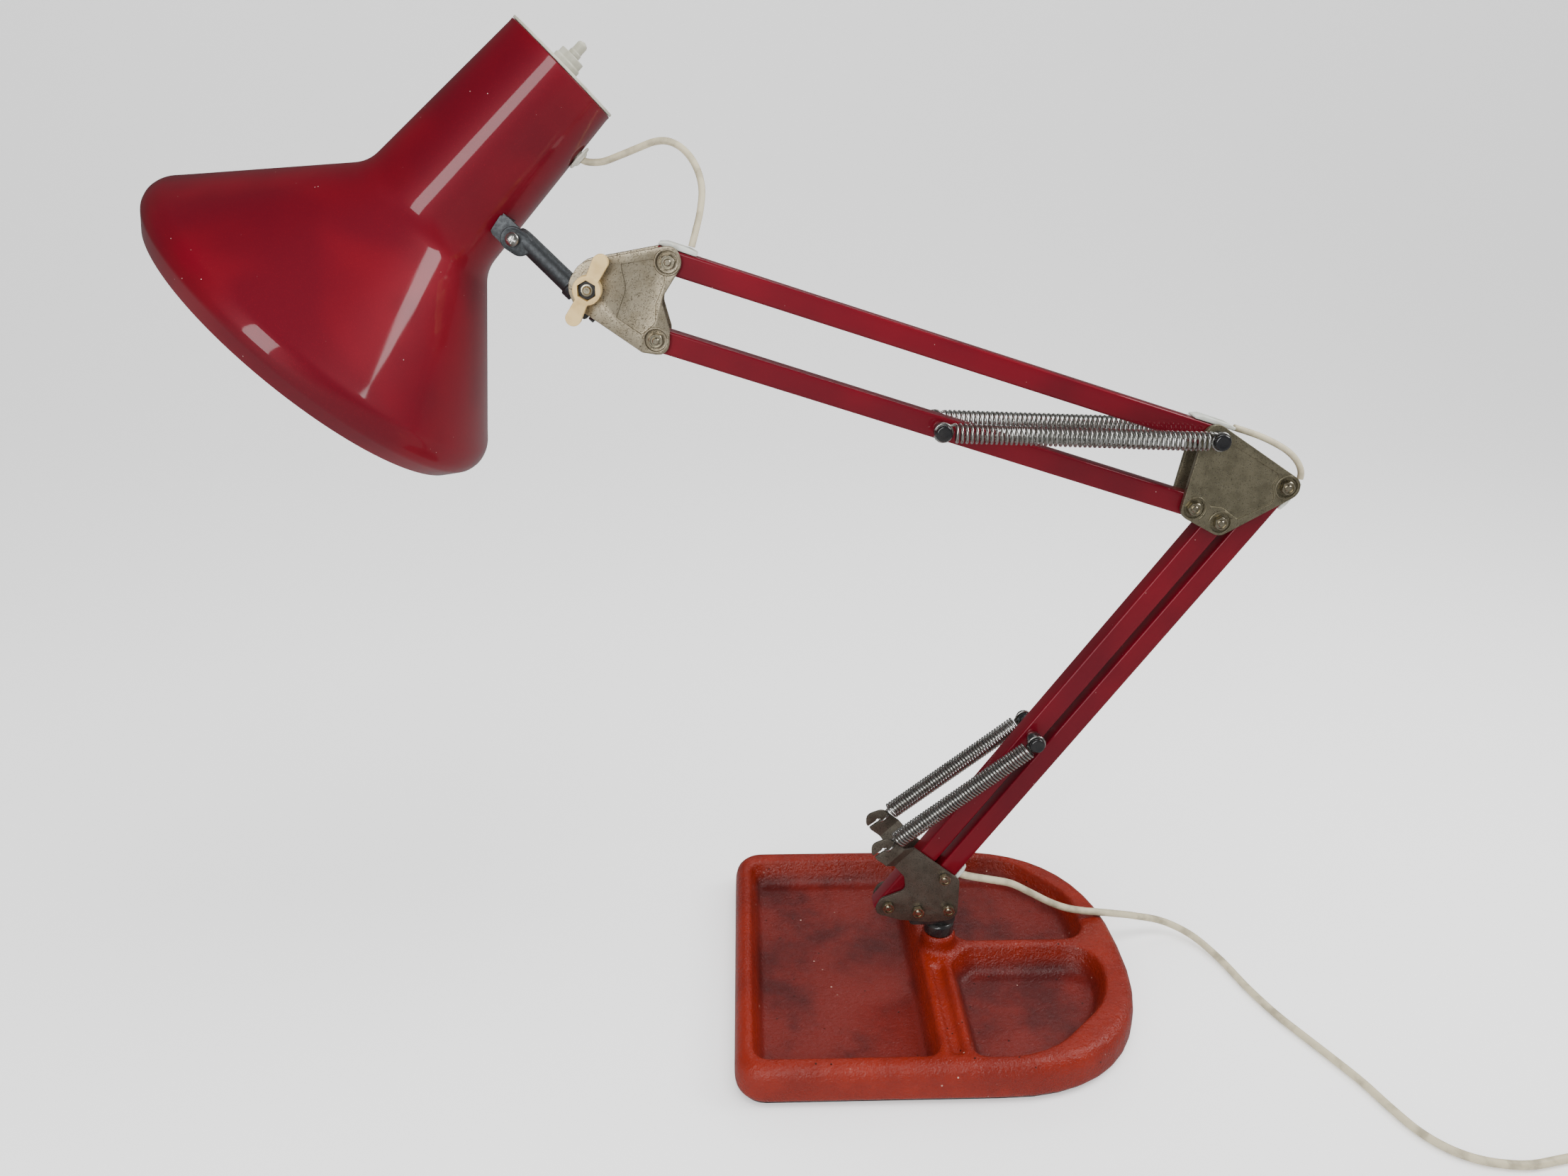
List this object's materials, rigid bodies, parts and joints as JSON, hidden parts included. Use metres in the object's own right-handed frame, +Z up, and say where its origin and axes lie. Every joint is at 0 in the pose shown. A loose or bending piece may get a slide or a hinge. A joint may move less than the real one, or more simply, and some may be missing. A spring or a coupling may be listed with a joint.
{
  "type": "architect desk lamp",
  "caption": "Spring-balanced architect desk lamp: two parallelogram arms with coil springs, spun conical shade with push switch, on a heavy tray base.",
  "frame": {"origin": "the swivel post's axis at the underside of the base's ground pad", "axes": "+X to the lamp's right in the front view, +Y away from the front, +Z up; at rest both arm pairs lie in the XZ plane"},
  "size_m": [0.8142, 0.3607, 0.554],
  "materials": {
    "wine_lacquer": "glossy metallic wine-red lacquer",
    "hammered_enamel": "orange-red hammered enamel on cast iron",
    "ground_pad": "matt black pad",
    "bracket_steel": "stamped steel with dull brown-grey plating",
    "elbow_nickel": "die-cast, aged nickel plating with dark specks",
    "plate_nickel": "die-cast, pale pitted nickel plating",
    "bright_steel": "bright plated steel",
    "gunmetal": "dark oxidised steel",
    "black_metal": "black enamel",
    "black_plastic": "glossy black",
    "cream_plastic": "aged cream",
    "milky_plastic": "translucent milky white",
    "switch_plastic": "aged grey-white",
    "lead_sheath": "aged off-white PVC",
    "lamp_glass": "opal glass"
  },
  "bodies": {
    "base": {"base_casting": "hammered_enamel", "base_pad": "ground_pad", "swivel_bush": "bright_steel", "mains_lead": "lead_sheath", "lead_coil": "lead_sheath", "mains_plug": "milky_plastic"},
    "swivel_bracket": {"swivel_post": "black_metal", "pivot_block": "black_metal", "bracket_front_plate": "bracket_steel", "bracket_rear_plate": "bracket_steel", "pivot_bolt_lower_front": "bright_steel", "pivot_bolt_lower_rear": "bright_steel", "block_bolt_left": "bright_steel", "block_bolt_right": "bright_steel", "lower_front_spring": "bright_steel", "lower_rear_spring": "bright_steel"},
    "lower_front_arm": {"lower_front_bar": "wine_lacquer", "lower_foot_clip": "milky_plastic", "lower_top_clip": "milky_plastic"},
    "lower_rear_arm": {"lower_rear_bar": "wine_lacquer", "lower_spring_pin": "bright_steel", "lower_front_knob": "black_plastic", "lower_rear_knob": "black_plastic"},
    "elbow": {"elbow_front_plate": "elbow_nickel", "elbow_rear_plate": "elbow_nickel", "pivot_bolt_elbow_right": "bright_steel", "pivot_bolt_elbow_left": "bright_steel", "pivot_bolt_elbow_bottom": "bright_steel", "elbow_spring_pin": "bright_steel", "elbow_front_knob": "black_plastic", "elbow_rear_knob": "black_plastic", "upper_front_spring": "bright_steel", "upper_rear_spring": "bright_steel"},
    "upper_top_arm": {"upper_top_bar": "wine_lacquer", "elbow_clip": "milky_plastic", "head_clip": "milky_plastic", "elbow_cord": "lead_sheath", "head_cord": "lead_sheath"},
    "upper_bottom_arm": {"upper_bottom_bar": "wine_lacquer", "upper_spring_pin": "bright_steel", "upper_front_knob": "black_plastic", "upper_rear_knob": "black_plastic"},
    "head_bracket": {"head_front_plate": "plate_nickel", "head_rear_plate": "plate_nickel", "pivot_bolt_head_top": "bright_steel", "pivot_bolt_head_bottom": "bright_steel", "clamp_bolt": "bright_steel"},
    "wing_nut": {"wing_knob": "cream_plastic"},
    "tilt_clamp": {"clamp_block": "black_plastic"},
    "shade_stem": {"stem": "gunmetal", "stem_nut": "black_plastic", "eye_screw": "bright_steel"},
    "shade_head": {"shade": "wine_lacquer", "shade_cap": "milky_plastic", "switch_body": "switch_plastic", "lampholder": "black_plastic", "bulb": "lamp_glass", "cord_grommet": "switch_plastic", "shade_lug": "gunmetal"},
    "push_switch": {"switch_plunger": "switch_plastic"}
  },
  "joints": [
    {"name": "base_swivel", "type": "hinge", "parent": "base", "child": "swivel_bracket", "pos_m": [0, 0, 0.04], "axis": [0, 0, 1], "range_deg": [-170, 170], "deforming": ["mains_lead"]},
    {"name": "lower_arm_lift", "type": "hinge", "parent": "swivel_bracket", "child": "lower_front_arm", "pos_m": [0, 0, 0.0797], "axis": [0, -1, 0], "range_deg": [-5, 35], "deforming": ["lower_front_spring", "lower_rear_spring"]},
    {"name": "lower_link", "type": "hinge", "parent": "swivel_bracket", "child": "lower_rear_arm", "pos_m": [-0.0337, 0, 0.0599], "axis": [0, -1, 0], "range_deg": [-5, 35]},
    {"name": "elbow_level", "type": "hinge", "parent": "lower_front_arm", "child": "elbow", "pos_m": [0.17091, 0, 0.32625], "axis": [0, -1, 0], "range_deg": [-35, 5]},
    {"name": "upper_arm_lift", "type": "hinge", "parent": "elbow", "child": "upper_top_arm", "pos_m": [0.12861, 0, 0.35295], "axis": [0, -1, 0], "range_deg": [-40, 35], "deforming": ["upper_front_spring", "upper_rear_spring", "elbow_cord", "head_cord"]},
    {"name": "upper_link", "type": "hinge", "parent": "elbow", "child": "upper_bottom_arm", "pos_m": [0.12171, 0, 0.31465], "axis": [0, -1, 0], "range_deg": [-40, 35]},
    {"name": "head_level", "type": "hinge", "parent": "upper_top_arm", "child": "head_bracket", "pos_m": [-0.15786, 0, 0.44202], "axis": [0, -1, 0], "range_deg": [-35, 40]},
    {"name": "wing_nut_turn", "type": "hinge", "parent": "head_bracket", "child": "wing_nut", "pos_m": [-0.1971, 0, 0.4292], "axis": [0, -1, 0], "range_deg": [-180, 180]},
    {"name": "head_tilt", "type": "hinge", "parent": "head_bracket", "child": "tilt_clamp", "pos_m": [-0.1971, 0, 0.4292], "axis": [0, -1, 0], "range_deg": [-45, 35]},
    {"name": "stem_swivel", "type": "hinge", "parent": "tilt_clamp", "child": "shade_stem", "pos_m": [-0.22705, 0, 0.44985], "axis": [0.7071, 0, -0.7071], "range_deg": [-90, 90]},
    {"name": "shade_tilt", "type": "hinge", "parent": "shade_stem", "child": "shade_head", "pos_m": [-0.2335, -0.004, 0.4522], "axis": [0, -1, 0], "range_deg": [-35, 35]},
    {"name": "switch_press", "type": "slide", "parent": "shade_head", "child": "push_switch", "axis": [-0.7048, -0.0812, -0.7048], "range_m": [0, 0.003], "stiffness_N_per_m": 300, "springref_m": -0.002}
  ],
  "couplings": [
    {"joint": "lower_link", "follows": "lower_arm_lift", "ratio": 1},
    {"joint": "elbow_level", "follows": "lower_arm_lift", "ratio": -1},
    {"joint": "upper_link", "follows": "upper_arm_lift", "ratio": 1},
    {"joint": "head_level", "follows": "upper_arm_lift", "ratio": -1}
  ]
}
